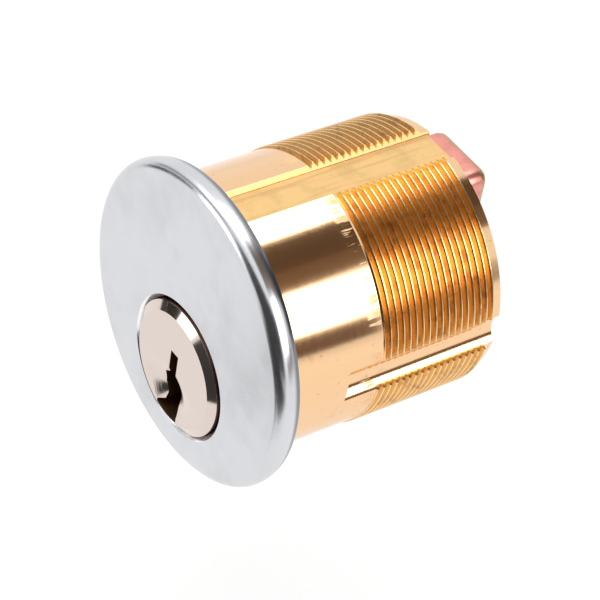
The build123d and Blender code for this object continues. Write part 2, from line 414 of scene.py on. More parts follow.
def noise(tree, place, scale, detail, roughness=0.5):
    """Soft noise over a linked place."""
    inputs = {"Vector": place, "Scale": scale, "Detail": detail, "Roughness": roughness}
    return shader_node(tree, "ShaderNodeTexNoise", inputs).outputs["Fac"]


def level_between(tree, value, low, high, top=1.0):
    """0 up to low, top from high, smooth between."""
    inputs = {"Value": value, "From Min": low, "From Max": high, "To Max": top}
    return shader_node(tree, "ShaderNodeMapRange", inputs, interpolation_type="SMOOTHSTEP").outputs[0]


def past(tree, value, limit, fade):
    """0 up to a limit, 1 from a fade beyond it; a fade below 0 turns this round."""
    return level_between(tree, value, limit, limit + fade)


def spread(tree, value, first, last):
    """Turn a linked 0 to 1 into first to last."""
    inputs = {"Value": value, "To Min": first, "To Max": last}
    return shader_node(tree, "ShaderNodeMapRange", inputs).outputs[0]


def new_group(name, inputs, outputs):
    """Empty node group with a vector and number inputs, and number outputs."""
    group = bpy.data.node_groups.new(name, "ShaderNodeTree")
    group.interface.new_socket("Vector", in_out="INPUT", socket_type="NodeSocketVector")
    for label, value in inputs.items():
        socket = group.interface.new_socket(label, in_out="INPUT", socket_type="NodeSocketFloat")
        socket.default_value = value
    for label in outputs:
        group.interface.new_socket(label, in_out="OUTPUT", socket_type="NodeSocketFloat")
    return group, group.nodes.new("NodeGroupInput").outputs


def tool_mark_group():
    """Fine parallel marks of a cutter: two layers of stretched noise."""
    group, given = new_group("tool_marks", {"Fineness": 1.0}, ("Marks",))
    inputs = {0: given["Vector"], "Scale": given["Fineness"]}
    scaled = shader_node(group, "ShaderNodeVectorMath", inputs, operation="SCALE").outputs[0]
    marks = blend_values(group, noise(group, scaled, 1.0, 3.0, 0.6), noise(group, scaled, 0.3, 1.0), 0.4)
    shader_node(group, "NodeGroupOutput", {"Marks": marks})
    return group


def stain_group():
    """Soft blotches of tarnish and small dark specks."""
    usual = {"Size": 300.0, "Cover": 0.5, "Softness": 0.22, "Blotch": 1.0, "Speck": 1.0}
    group, given = new_group("stains", usual, ("Stain",))
    place, size = given["Vector"], given["Size"]
    full = combine(group, "ADD", given["Cover"], given["Softness"])
    blotch = noise(group, place, size, 6.0, 0.62)
    blotches = level_between(group, blotch, given["Cover"], full, given["Blotch"])
    speck = noise(group, place, combine(group, "MULTIPLY", size, 7.0), 2.0)
    inputs = {"Value": speck, "From Min": 0.68, "From Max": 0.75, "To Max": given["Speck"]}
    specks = shader_node(group, "ShaderNodeMapRange", inputs).outputs[0]
    shader_node(group, "NodeGroupOutput", {"Stain": combine(group, "MAXIMUM", blotches, specks)})
    return group


def lathe_group():
    """Distance from a lathe axis that runs along the barrel, and place along it."""
    group, given = new_group("lathe_place", {"Drop": 0.0}, ("Radius", "Along"))
    across, along, height = shader_node(group, "ShaderNodeSeparateXYZ", {0: given["Vector"]}).outputs
    height = combine(group, "ADD", height, given["Drop"])
    flat = shader_node(group, "ShaderNodeCombineXYZ", {"X": across, "Y": height}).outputs[0]
    radius = shader_node(group, "ShaderNodeVectorMath", {0: flat}, operation="LENGTH").outputs["Value"]
    shader_node(group, "NodeGroupOutput", {"Radius": radius, "Along": along})
    return group


def shared_group(tree, name, make, place, **values):
    """Outputs of the shared group of this name, which is made on first use."""
    group = bpy.data.node_groups.get(name) or make()
    return shader_node(tree, "ShaderNodeGroup", {"Vector": place, **values}, node_tree=group).outputs


def marks_along(tree, place, stretch, fineness):
    """Tool marks drawn out by the stretch along each axis."""
    stretched = shader_node(tree, "ShaderNodeMapping", {"Vector": place, "Scale": stretch}).outputs[0]
    return shared_group(tree, "tool_marks", tool_mark_group, stretched, Fineness=fineness)["Marks"]


def ring_marks(tree, radius, fineness):
    """Rings that a facing cutter leaves, for a linked distance from its axis."""
    rings = shader_node(tree, "ShaderNodeCombineXYZ", {"X": radius}).outputs[0]
    return marks_along(tree, rings, (1, 1, 1), fineness)


def stains_on(tree, place, size, cover, blotch=1.0, speck=0.6, softness=0.3):
    """Stain mask over a linked place."""
    values = {"Size": size, "Cover": cover, "Softness": softness, "Blotch": blotch, "Speck": speck}
    return shared_group(tree, "stains", stain_group, place, **values)["Stain"]


def lathe_place(tree, place, drop=0.0):
    """Distance from an axis that lies a drop below the barrel's, and place along it."""
    return shared_group(tree, "lathe_place", lathe_group, place, Drop=drop).values()


def new_metal(name):
    """Metal material with its object coordinates."""
    material = bpy.data.materials.new(name)
    material.use_nodes = True
    tree = material.node_tree
    tree.nodes["Principled BSDF"].inputs["Metallic"].default_value = 1.0
    return material, tree, shader_node(tree, "ShaderNodeTexCoord").outputs["Object"]


def finish_metal(material, surface, marks, worn, roughness, mark_height, matt=None):
    """Link the colour, and let marks, wear and the matt places set roughness and bumps."""
    tree = material.node_tree
    rough = spread(tree, blend_values(tree, marks, worn, 0.5), *roughness)
    if matt is not None:
        rough = combine(tree, "MAXIMUM", rough, matt)
    bump = shader_node(tree, "ShaderNodeBump", {"Height": marks, "Strength": 1.0, "Distance": mark_height})
    principled = tree.nodes["Principled BSDF"]
    for socket, value in (("Base Color", surface), ("Roughness", rough), ("Normal", bump.outputs[0])):
        tree.links.new(value, principled.inputs[socket])
    return material


def plain_metal(name, clean, dull, stretch, fineness, stains, roughness, mark_height):
    """Metal of one colour with tool marks along one direction and soft stains."""
    material, tree, place = new_metal(name)
    marks = marks_along(tree, place, stretch, fineness)
    worn = stains_on(tree, place, **stains, softness=0.22)
    surface = blend_colours(tree, clean, darker(clean, dull), worn)
    return finish_metal(material, surface, marks, worn, roughness, mark_height)


def satin_chrome(finishes, bore):
    """Satin plate of the head, softly clouded, with a painted highlight where the hole's edge is bevelled and
    painted shade along the rim's back.
    """
    material, tree, place = new_metal("satin_chrome")
    marks = marks_along(tree, place, (1, 1, 1), 7000)
    clouds = stains_on(tree, place, 130, 0.40, speck=0.5)
    radius, along = lathe_place(tree, place, -plug_height)
    # Painted highlight: the mouth's bevel and the hole's edge get a near-white colour
    face = past(tree, radius, bore.counterbore_radius + bore.mouth_bevel - 0.00002, 0.00008)
    # Painted shade: the rim's back edge is given a dark blue-grey colour
    back = past(tree, along, -0.0009, 0.0006)
    plate = blend_colours(tree, finishes.chrome, darker(finishes.chrome, 0.92), clouds)
    bright = blend_colours(tree, finishes.painted_mouth_highlight, plate, face)
    surface = blend_colours(tree, bright, finishes.rim_back_shade, back)
    return finish_metal(material, surface, marks, clouds, (0.19, 0.30), 0.0000006)


def chatter_ticks(tree, place, along, barrel):
    """Short ticks that the thread's cutter left on the end of the shank."""
    chosen = level_between(tree, marks_along(tree, place, (1, 0.06, 1), 2600), 0.50, 0.54)
    start = barrel.thread_start
    near = level_between(tree, along, start - barrel.tick_length, start - 0.0004)
    return combine(tree, "MULTIPLY", chosen, near, past(tree, along, start, -0.00005))


def thread_mask(tree, radius, along, barrel):
    """1 on the thread, but not on the lip behind it or down in the grooves."""
    lip_start = shell_high.y - barrel.lip_length
    root = barrel.crest_radius - barrel.thread_depth
    return combine(
        tree, "MULTIPLY",
        past(tree, along, barrel.thread_start, 0.0003),
        past(tree, along, lip_start, -0.00005),
        past(tree, radius, root - 0.00012, 0.0001),
    )


def slot_edge_mask(tree, place, radius, barrel):
    """1 on the bevel along the slot's left edge."""
    across, _, height = shader_node(tree, "ShaderNodeSeparateXYZ", {0: place}).outputs
    return combine(
        tree, "MULTIPLY",
        past(tree, across, barrel.slot_left - 0.0006, 0.0001),
        past(tree, across, barrel.slot_left + 0.0002, -0.0001),
        past(tree, height, cover_high.z - 0.0002, 0.0001),
        past(tree, radius, barrel.shank_radius - 0.000005, -0.000025),
    )


def turned_brass(finishes, barrel):
    """Turned brass of the barrel: bright on the shank, the lip and in the grooves, darker down in the thread
    with painted shade and oil.
    """
    material, tree, place = new_metal("turned_brass")
    marks = marks_along(tree, place, (0.05, 1, 0.05), 14000)
    radius, along = lathe_place(tree, place)
    threaded = thread_mask(tree, radius, along, barrel)
    raised = past(tree, radius, barrel.crest_radius - 0.00008, 0.00006)
    slot_edge = slot_edge_mask(tree, place, radius, barrel)
    shank_worn = stains_on(tree, place, 260, 0.62, 0.35, 0.5, softness=0.2)
    thread_worn = stains_on(tree, place, 620, 0.5, 0.75, 1.0, softness=0.2)
    shank = blend_colours(tree, finishes.brass, finishes.brass_stain, shank_worn)
    # Painted shade and oil: the thread darkens from its crests down to its roots
    flanks = blend_colours(tree, finishes.thread_root_oil_and_shade, finishes.thread_crest, raised)
    thread = blend_colours(tree, flanks, finishes.brass_stain, thread_worn)
    outside = blend_colours(tree, shank, thread, threaded)
    surface = blend_colours(tree, outside, finishes.cover, slot_edge)
    worn = blend_values(tree, shank_worn, thread_worn, threaded)
    matt = combine(
        tree, "MAXIMUM",
        combine(tree, "MULTIPLY", spread(tree, raised, 0.27, 0.24), threaded),
        combine(tree, "MULTIPLY", chatter_ticks(tree, place, along, barrel), 0.6),
        combine(tree, "MULTIPLY", slot_edge, 0.38),
    )
    return finish_metal(material, surface, marks, worn, (0.08, 0.3), 0.000001, matt)


def milled_brass(finishes):
    """Brushed brass of the cover, its marks and darker streaks running lengthwise."""
    material, tree, place = new_metal("milled_brass")
    marks = marks_along(tree, place, (1, 0.02, 1), 4200)
    streaks = level_between(tree, marks_along(tree, place, (1, 0.045, 1), 1700), 0.46, 0.62)
    worn = stains_on(tree, place, 300, 0.45, 0.8)
    streaked = blend_colours(tree, finishes.cover, finishes.cover_streak, streaks)
    surface = blend_colours(tree, streaked, darker(finishes.cover, 0.7), worn)
    return finish_metal(material, surface, marks, worn, (0.26, 0.42), 0.000003)


def cut_brass(finishes):
    """Broached brass inside the keyway and the bores, darker there as painted shade, and painted bright along
    the keyway's floor where light from above falls.
    """
    material, tree, place = new_metal("cut_brass")
    marks = marks_along(tree, place, (1, 0.04, 1), 7000)
    worn = stains_on(tree, place, 500, 0.5, softness=0.25)
    height = shader_node(tree, "ShaderNodeSeparateXYZ", {0: place}).outputs["Z"]
    floor = plug_height + KEYWAY_FLOOR
    # Painted light: the keyway's floor gets bright brass and no metal, standing for light from above
    painted_floor_light = past(tree, height, floor + 0.0007, -0.0006)
    # Painted shade: the inside of the keyway and bores is darker brass
    shaded_inside = blend_colours(tree, finishes.cut_brass, darker(finishes.cut_brass, 0.5), worn)
    surface = blend_colours(tree, shaded_inside, finishes.brass, painted_floor_light)
    metal_off_floor = combine(tree, "SUBTRACT", 1.0, painted_floor_light)
    tree.links.new(metal_off_floor, tree.nodes["Principled BSDF"].inputs["Metallic"])
    return finish_metal(material, surface, marks, worn, (0.25, 0.5), 0.000004)


def plug_plate(finishes, plug):
    """Warm nickel plate of the plug, faced in rings, coarser in the dished entry, with painted shade and dirt
    round its collar.
    """
    material, tree, place = new_metal("plug_plate")
    radius, along = lathe_place(tree, place, -plug_height)
    inputs = {0: place, 1: (-plug.entry_offset, 0, 0)}
    beside = shader_node(tree, "ShaderNodeVectorMath", inputs, operation="ADD").outputs[0]
    dish_radius, _ = lathe_place(tree, beside, plug.entry_drop - plug_height)
    dished = past(tree, dish_radius, plug.entry_radius, -0.00004)
    faint = combine(tree, "MULTIPLY", ring_marks(tree, radius, 9000), 0.03)
    marks = blend_values(tree, faint, ring_marks(tree, dish_radius, 7000), dished)
    outer = past(tree, radius, plug_high.x - 0.00004, 0.00003)
    behind = past(tree, along, plug_low.y + plug.face_chamfer_depth, 0.00003)
    # Painted shade and dirt on the collar's side, down in the gap round the plug
    gap = combine(tree, "MULTIPLY", outer, behind)
    worn = stains_on(tree, place, 380, 0.55, 0.6, 0.4)
    plate = blend_colours(tree, finishes.nickel, darker(finishes.nickel, 0.85), worn)
    surface = blend_colours(tree, plate, finishes.gap_shade_and_dirt, gap)
    return finish_metal(material, surface, marks, worn, (0.10, 0.20), 0.00003)


def copper_plate(finishes, cam):
    """Copper-tinted plate of the cam, worn to brass along its rear edge."""
    material, tree, place = new_metal("copper_plate")
    marks = marks_along(tree, place, (1, 1, 1), 5000)
    worn = stains_on(tree, place, 420, 0.42, 0.9, 0.8)
    along = shader_node(tree, "ShaderNodeSeparateXYZ", {0: place}).outputs["Y"]
    rear = past(tree, along, cam_high.y - cam.rear_bevel, cam.rear_bevel / 2)
    plate = blend_colours(tree, finishes.copper, darker(finishes.copper, 0.66), worn)
    surface = blend_colours(tree, plate, finishes.cam_edge, rear)
    return finish_metal(material, surface, marks, worn, (0.26, 0.5), 0.000004)


def plated_steel(finishes):
    """Zinc-plated steel of the screws."""
    stains = {"size": 600, "cover": 0.55, "speck": 0.8}
    return plain_metal("plated_steel", finishes.steel, 0.6, (1, 1, 1), 6000, stains, (0.3, 0.5), 0.000003)


def pin_metal(name, shade, dull):
    """Metal of the pins, turned round their upright axes."""
    stains = {"size": 700, "cover": 0.6}
    return plain_metal(name, shade, dull, (0.05, 0.05, 1), 12000, stains, (0.18, 0.36), 0.000002)


def pin_brass(finishes):
    """Brass of the key pins."""
    return pin_metal("pin_brass", finishes.brass, 0.55)


def pin_nickel(finishes):
    """Nickel silver of the driver pins."""
    return pin_metal("pin_nickel", finishes.nickel, 0.7)


def spring_bronze(finishes):
    """Drawn bronze wire of the springs."""
    stains = {"size": 900, "cover": 0.6}
    return plain_metal("spring_bronze", finishes.spring, 0.6, (1, 1, 1), 9000, stains, (0.25, 0.45), 0.000001)


# Head and barrel


def head_mesh(head, bore):
    """Round head: the outside spun about the barrel's axis, the mouth of the bore about the plug's."""
    bm = bmesh.new()
    face = shell_low.y
    widest = bm.verts.new((head.radius, head.rim_widest, 0))
    rim_round = head.rim_widest - face
    front_centre = (head.radius - rim_round, head.rim_widest, 0)
    bmesh.ops.spin(bm, geom=[widest], cent=front_centre, axis=UP, angle=-tau / 4, steps=12)
    back_centre = (head.radius - head.rim_back_round, head.rim_widest, 0)
    back_angle = asin(-head.rim_widest / head.rim_back_round)
    back = bmesh.ops.spin(bm, geom=[widest], cent=back_centre, axis=UP, angle=back_angle, steps=6)
    seat = line(bm, [(head.seat_radius, 0, 0), (head.seat_radius, -head.seat_relief, 0)])
    bm.edges.new((back["geom_last"][0], seat[0]))
    spin_round(bm, list(bm.verts) + list(bm.edges), (0, 0, 0), ALONG, 192)
    plug_centre = Vector((0, 0, plug_height))
    mouth = [
        (bore.counterbore_radius + bore.mouth_bevel, face),
        (bore.counterbore_radius, face + bore.mouth_bevel),
        (bore.counterbore_radius, bore.counterbore_floor),
        (bore.radius, bore.counterbore_floor),
        (bore.radius, -head.seat_relief),
    ]
    inside = line(bm, [plug_centre + Vector((radius, along, 0)) for radius, along in mouth])
    spin_round(bm, inside, plug_centre, ALONG, 192)
    bmesh.ops.remove_doubles(bm, verts=bm.verts, dist=TINY)
    for end in (face, -head.seat_relief):
        bmesh.ops.bridge_loops(bm, edges=[edge for edge in edges_at(bm, end) if edge.is_boundary])
    close_up(bm)
    return bm


def thread_depth_at(phase):
    """Depth of the thread as a part of its full depth, at a part of its pitch."""
    form = THREAD_FORM + ((1.0, 0.0),)
    for (start, first), (end, last) in zip(form, form[1:]):
        if phase <= end:
            return first + (last - first) * (phase - start) / (end - start)
    return 0.0


def thread_radius_at(barrel, along, angle):
    """Radius of the threaded part at a place along the barrel and an angle round it."""
    phase = ((along - barrel.thread_start) / barrel.thread_pitch - angle / tau) % 1.0
    cut_radius = barrel.crest_radius - barrel.thread_depth * thread_depth_at(phase)
    depth = min(1.0, (along - barrel.thread_start) / barrel.thread_run_in)
    return barrel.shank_radius + (cut_radius - barrel.shank_radius) * depth


def barrel_columns(barrel, relief):
    """Places along the barrel, each with its radius, or None where it follows the thread."""
    lip_start = shell_high.y - barrel.lip_length
    first = [(-relief, barrel.shank_radius), (barrel.thread_start, barrel.shank_radius)]
    turns = int((lip_start - barrel.thread_start) / barrel.thread_pitch) + 2
    thread = [
        (barrel.thread_start + (turn - 1 + part) * barrel.thread_pitch, None)
        for turn in range(turns)
        for part, _ in THREAD_FORM
    ]
    last = [(lip_start, barrel.lip_radius), (shell_high.y, barrel.lip_end_radius)]
    return first + thread + last


def place_on_barrel(vert, columns, barrel):
    """Move a vertex of the spun grid, whose y is its column's number, to its place."""
    angle = atan2(vert.co.x, vert.co.z) % tau
    along, radius = columns[round(vert.co.y)]
    if radius is None:
        lip_start = shell_high.y - barrel.lip_length
        along = along + barrel.thread_pitch * angle / tau
        along = max(barrel.thread_start, min(lip_start, along))
        radius = thread_radius_at(barrel, along, angle)
    vert.co = (radius * sin(angle), along, radius * cos(angle))
    return angle


def barrel_mesh(barrel, relief):
    """Shank, thread and rear lip as one skin, open along the slot, which is then walled and capped."""
    bm = bmesh.new()
    columns = barrel_columns(barrel, relief)
    first_angle = atan2(barrel.slot_right, barrel.shank_radius)
    last_angle = tau + atan2(barrel.slot_left, barrel.shank_radius)
    start = line(bm, [(sin(first_angle), number, cos(first_angle)) for number in range(len(columns))])
    sweep = last_angle - first_angle
    bmesh.ops.spin(bm, geom=start, cent=(0, 0, 0), axis=ALONG, angle=sweep, steps=barrel.turns)
    walls = ((first_angle, barrel.slot_right, []), (last_angle, barrel.slot_left, []))
    for vert in bm.verts:
        angle = place_on_barrel(vert, columns, barrel)
        radius = Vector((vert.co.x, vert.co.z)).length
        for wall_angle, wall_place, wall in walls:
            if abs(angle - wall_angle) < TINY * 100:
                wall.append(vert)
                vert.co.x = wall_place
                vert.co.z = sqrt(radius**2 - wall_place**2)
    feet = []
    for _, _, wall in walls:
        top = [edge for edge in bm.edges if edge.verts[0] in wall and edge.verts[1] in wall]
        lowered = bmesh.ops.extrude_edge_only(bm, edges=top)["geom"]
        for item in lowered:
            if isinstance(item, bmesh.types.BMVert):
                item.co.z = cover_low.z
        feet += [
            item for item in lowered
            if isinstance(item, bmesh.types.BMEdge) and all(vert.co.z == cover_low.z for vert in item.verts)
        ]
    bmesh.ops.bridge_loops(bm, edges=feet)
    bmesh.ops.remove_doubles(bm, verts=bm.verts, dist=TINY)
    bmesh.ops.holes_fill(bm, edges=[edge for edge in bm.edges if edge.is_boundary], sides=0)
    close_up(bm)
    return bm


def groove_tool(barrel, side):
    """Cutter for one round-bottomed set-screw groove."""
    half = barrel.groove_width / 2
    axis = sqrt(barrel.shank_radius**2 - half**2) + sqrt(barrel.groove_radius**2 - half**2)
    profile = rod(barrel.groove_radius, barrel.groove_start, shell_high.y + OVERSHOOT)
    return new_object("groove_tool", turned(profile, (side * axis, 0, 0), ALONG, 128))


def crest_tool(barrel):
    """Cutter that mills the crests beside the cover down to a flat."""
    left, right = barrel.slot_right - OVERSHOOT / 2, barrel.slot_right + barrel.crest_flat_width
    outline = rectangle(left, right, barrel.crest_flat, shell_high.z)
    start, end = barrel.thread_start - OVERSHOOT, shell_high.y + OVERSHOOT
    return new_object("crest_tool", prism(outline, start, end))


def slot_bevel_tool(barrel):
    """Cutter that bevels the slot's left edge down towards the cover."""
    near, far = barrel.slot_left + 0.0003, barrel.slot_left - 0.0015
    slope = tan(barrel.slot_bevel_slope)
    outline = [(place, barrel.slot_bevel_foot + slope * (barrel.slot_left - place)) for place in (far, near)]
    outline += [(near, shell_high.z), (far, shell_high.z)]
    return new_object("slot_bevel_tool", prism(outline, -OVERSHOOT, shell_high.y + OVERSHOOT))


def pin_station(number):
    """Point on a chamber's axis at height 0."""
    low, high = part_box(f"key_pin_{number}")
    return Vector((0, (low.y + high.y) / 2, 0))


def chamber_tool(profile, *materials):
    """Cutter for the six pin chambers."""
    bm = bmesh.new()
    for number in pin_numbers:
        turned(profile, pin_station(number), UP, 48, bm)
    return new_object("chamber_tool", bm, *materials)


class LOCK_OT_head(bpy.types.Operator):
    """Turn the round head with its rounded rim"""

    bl_idname = "lock_cylinder.head"
    bl_label = "Head"
    bl_options = {"REGISTER", "UNDO"}

    def execute(self, context):
        scene = context.scene
        chrome = satin_chrome(scene.lock_finishes, scene.lock_bore)
        piece = new_object("head_plate", head_mesh(scene.lock_head, scene.lock_bore), chrome)
        smooth(piece, radians(20))
        dress(piece, "head_chrome", "barrel", "shell")
        return {"FINISHED"}


class LOCK_OT_barrel(bpy.types.Operator):
    """Cut the threaded barrel with its bore, pin chambers and grooves"""

    bl_idname = "lock_cylinder.barrel"
    bl_label = "Barrel"
    bl_options = {"REGISTER", "UNDO"}

    def execute(self, context):
        scene = context.scene
        barrel, bore = scene.lock_barrel, scene.lock_bore
        brass = turned_brass(scene.lock_finishes, barrel)
        piece = new_object("barrel_body", barrel_mesh(barrel, scene.lock_head.seat_relief), brass)
        bore_profile = rod(bore.radius, -OVERSHOOT, shell_high.y + OVERSHOOT)
        chambers = rod(bore.chamber_radius, plug_height, cover_low.z + TINY * 10)
        tools = [
            new_object("bore_tool", turned(bore_profile, (0, 0, plug_height), ALONG, 128)),
            chamber_tool(chambers),
            groove_tool(barrel, 1),
            groove_tool(barrel, -1),
            crest_tool(barrel),
            slot_bevel_tool(barrel),
        ]
        cut(piece, tools)
        smooth(piece, radians(28))
        dress(piece, "barrel_brass", "barrel", "shell")
        return {"FINISHED"}


class LOCK_OT_cover(bpy.types.Operator):
    """Mill the cover strip over the pin chambers"""

    bl_idname = "lock_cylinder.cover"
    bl_label = "Chamber cover"
    bl_options = {"REGISTER", "UNDO"}

    def execute(self, context):
        sizes = context.scene.lock_cover
        bm = bmesh.new()
        block = Matrix.Diagonal((*(cover_high - cover_low), 1))
        bmesh.ops.create_cube(bm, size=1, matrix=Matrix.Translation((cover_high + cover_low) / 2) @ block)
        rear = [
            edge for edge in edges_at(bm, cover_high.y)
            if all(vert.co.z > cover_high.z - TINY for vert in edge.verts)
        ]
        bevel(bm, rear, sizes.rear_bevel, 1)
        bevel(bm, list(bm.edges), sizes.edge_break, 2)
        close_up(bm)
        piece = new_object("cover_strip", bm, milled_brass(context.scene.lock_finishes))
        smooth(piece, radians(20))
        dress(piece, "cover_brass", "barrel", "chamber_cover")
        return {"FINISHED"}


# Plug, cam and screws


def plug_mesh(plug):
    """Plug with its collar and face bevel, before the keyway is cut."""
    collar, face = plug_high.x, plug_low.y
    profile = [
        (0, face),
        (collar - plug.face_chamfer, face),
        (collar, face + plug.face_chamfer_depth),
        (collar, plug.collar_back),
        (plug.radius, plug.collar_back),
        (plug.radius, plug_high.y - plug.rear_break),
        (plug.radius - plug.rear_break, plug_high.y),
        (0, plug_high.y),
    ]
    return turned(profile, (0, 0, plug_height), ALONG, 128)


def keyway_tools(plug, brass):
    """Cutters for the keyway: within the collar it stops short of the rim."""
    centre = Vector((0, 0, plug_height))
    front, behind = [
        new_object("keyway_tool", prism(KEYWAY_OUTLINE, start, end, centre), brass)
        for start, end in (
            (plug_low.y - OVERSHOOT, plug.collar_back + TINY),
            (plug.collar_back, plug_high.y + OVERSHOOT),
        )
    ]
    core_profile = rod(plug.radius - plug.keyway_inset, plug_low.y - 2 * OVERSHOOT, OVERSHOOT)
    cut(front, [new_object("core_tool", turned(core_profile, centre, ALONG, 128), brass)], "INTERSECT")
    return [behind, front]


def entry_tool(plug, plate):
    """Cutter for the dished entry, a shallow cone."""
    centre = (plug.entry_offset, plug_low.y, plug_height - plug.entry_drop)
    widen = 1.5
    top = plug.entry_depth * (1 - widen)
    profile = [(0, plug.entry_depth), (plug.entry_radius * widen, top), (0, top)]
    return new_object("entry_tool", turned(profile, centre, ALONG, 96), plate)


def screw_centres(cam):
    """Where the two cam screws stand."""
    return [Vector((side * cam.screw_spacing / 2, 0, plug_height)) for side in (-1, 1)]


class LOCK_OT_plug(bpy.types.Operator):
    """Turn the plug and cut its keyway, entry and chambers"""

    bl_idname = "lock_cylinder.plug"
    bl_label = "Plug"
    bl_options = {"REGISTER", "UNDO"}

    def execute(self, context):
        scene = context.scene
        plug, bore, cam = scene.lock_plug, scene.lock_bore, scene.lock_cam
        plate, brass = plug_plate(scene.lock_finishes, plug), cut_brass(scene.lock_finishes)
        piece = new_object("plug_core", plug_mesh(plug), plate)
        shoulder = plug_height + plug.chamber_shoulder
        chambers = rod(bore.chamber_radius, shoulder, plug_high.z + OVERSHOOT, plug.chamber_point)
        tools = keyway_tools(plug, brass) + [entry_tool(plug, plate), chamber_tool(chambers, brass)]
        bottom = cam_high.y - cam.screw_length - cam.hole_room
        hole = rod(cam.screw_radius + cam.thread_gap, bottom, plug_high.y + OVERSHOOT)
        tools += [
            new_object("screw_hole_tool", turned(hole, centre, ALONG, 32), brass)
            for centre in screw_centres(cam)
        ]
        cut(piece, tools)
        smooth(piece)
        dress(piece, "plug_nickel", "plug", "plug")
        return {"FINISHED"}


def cam_mesh(cam):
    """Hub and lobe outline, with round corners and roots, thickened and bevelled."""
    bm = bmesh.new()
    hub_centre = Vector((0, cam_low.y, plug_height))
    right = cam.lobe_offset + cam.lobe_width / 2
    left = cam.lobe_offset - cam.lobe_width / 2
    roots = []
    for side, wall in ((1, right), (-1, -left)):
        out = wall + cam.root_round
        high = sqrt((cam.hub_radius + cam.root_round) ** 2 - out**2)
        roots.append((hub_centre + Vector((side * out, 0, high)), atan2(out, high)))
    (right_root, right_angle), (left_root, left_angle) = roots
    start = bm.verts.new(right_root - ACROSS * cam.root_round)
    end = start
    for centre, angle, steps in (
        (right_root, right_angle - tau / 4, 8),
        (hub_centre, tau - right_angle - left_angle, 96),
        (left_root, left_angle - tau / 4, 8),
    ):
        arc = bmesh.ops.spin(bm, geom=[end], cent=centre, axis=ALONG, angle=angle, steps=steps)
        end = arc["geom_last"][0]
    corners = line(bm, [(left, cam_low.y, cam_high.z), (right, cam_low.y, cam_high.z)])[:2]
    bm.edges.new((end, corners[0]))
    bm.edges.new((corners[1], start))
    bmesh.ops.contextual_create(bm, geom=list(bm.edges))
    bevel(bm, corners, cam.corner_round, 8, affect="VERTICES")
    thicken(bm, cam_high.y - cam_low.y)
    bevel(bm, edges_at(bm, cam_high.y), cam.rear_bevel, 3, clamp_overlap=True)
    bevel(bm, edges_at(bm, cam_low.y), cam.edge_break, 2, clamp_overlap=True)
    close_up(bm)
    return bm


class LOCK_OT_cam(bpy.types.Operator):
    """Shape the rear cam and countersink its two holes"""

    bl_idname = "lock_cylinder.cam"
    bl_label = "Cam"
    bl_options = {"REGISTER", "UNDO"}

    def execute(self, context):
        scene = context.scene
        cam = scene.lock_cam
        piece = new_object("cam_plate", cam_mesh(cam), copper_plate(scene.lock_finishes, cam))
        hole = cam.screw_radius + cam.hole_clearance
        sink = cam.screw_head_radius + cam.hole_clearance
        above = OVERSHOOT / 2
        profile = [
            (0, cam_low.y - OVERSHOOT),
            (hole, cam_low.y - OVERSHOOT),
            (hole, cam_high.y + hole - sink),
            (sink + above, cam_high.y + above),
            (0, cam_high.y + above),
        ]
        tools = [new_object("countersink_tool", turned(profile, at, ALONG, 48)) for at in screw_centres(cam)]
        cut(piece, tools)
        smooth(piece)
        dress(piece, "cam_copper", "plug", "cam")
        return {"FINISHED"}


class LOCK_OT_cam_screws(bpy.types.Operator):
    """Turn the two flat-headed cam screws and slot their heads"""

    bl_idname = "lock_cylinder.cam_screws"
    bl_label = "Cam screws"
    bl_options = {"REGISTER", "UNDO"}

    def execute(self, context):
        cam = context.scene.lock_cam
        steel = plated_steel(context.scene.lock_finishes)
        top = cam_high.y
        foot = top - cam.screw_length
        end_bevel = 0.2 * cam.screw_radius
        soft = 0.00005
        profile = [
            (0, foot),
            (cam.screw_radius - end_bevel, foot),
            (cam.screw_radius, foot + end_bevel),
            (cam.screw_radius, top + cam.screw_radius - cam.screw_head_radius),
            (cam.screw_head_radius - soft, top - soft),
            (cam.screw_head_radius - 2 * soft, top),
            (0, top),
        ]
        reach, half = cam.screw_head_radius * 1.2, cam.driver_slot_width / 2
        for number, centre in enumerate(screw_centres(cam), start=1):
            piece = new_object(f"cam_screw_piece_{number}", turned(profile, centre, ALONG, 48), steel)
            side = -1 if number == 1 else 1
            slot = prism(rectangle(-reach, reach, -half, half), top - cam.driver_slot_depth, top + OVERSHOOT)
            turn = Matrix.Rotation(-side * cam.driver_slot_turn, 3, "Y")
            bmesh.ops.rotate(slot, verts=slot.verts, cent=(0, 0, 0), matrix=turn)
            bmesh.ops.translate(slot, verts=slot.verts, vec=centre)
            cut(piece, [new_object("driver_slot_tool", slot)])
            smooth(piece)
            dress(piece, "screw_steel", "plug", f"cam_screw_{number}")
        return {"FINISHED"}


# Pins and springs


def key_pin_profile(pins, low, high):
    """Pointed bottom pin, its top rounded to the plug's radius."""
    soft = pins.edge_break
    shoulder = plug_height + sqrt((high - plug_height) ** 2 - pins.radius**2)
    return [
        (0, low),
        (pins.tip_flat, low + pins.tip_height * pins.tip_flat / pins.radius),
        (pins.radius - soft, low + pins.tip_height * (1 - soft / pins.radius)),
        (pins.radius, low + pins.tip_height + soft / 2),
        (pins.radius, shoulder - soft),
        (pins.radius - soft, shoulder),
        (0, high),
    ]


def driver_pin_profile(pins, low, high):
    """Plain top pin with soft edges."""
    soft = pins.edge_break
    return [
        (0, low),
        (pins.radius - soft, low),
        (pins.radius, low + soft),
        (pins.radius, high - soft),
        (pins.radius - soft, high),
        (0, high),
    ]


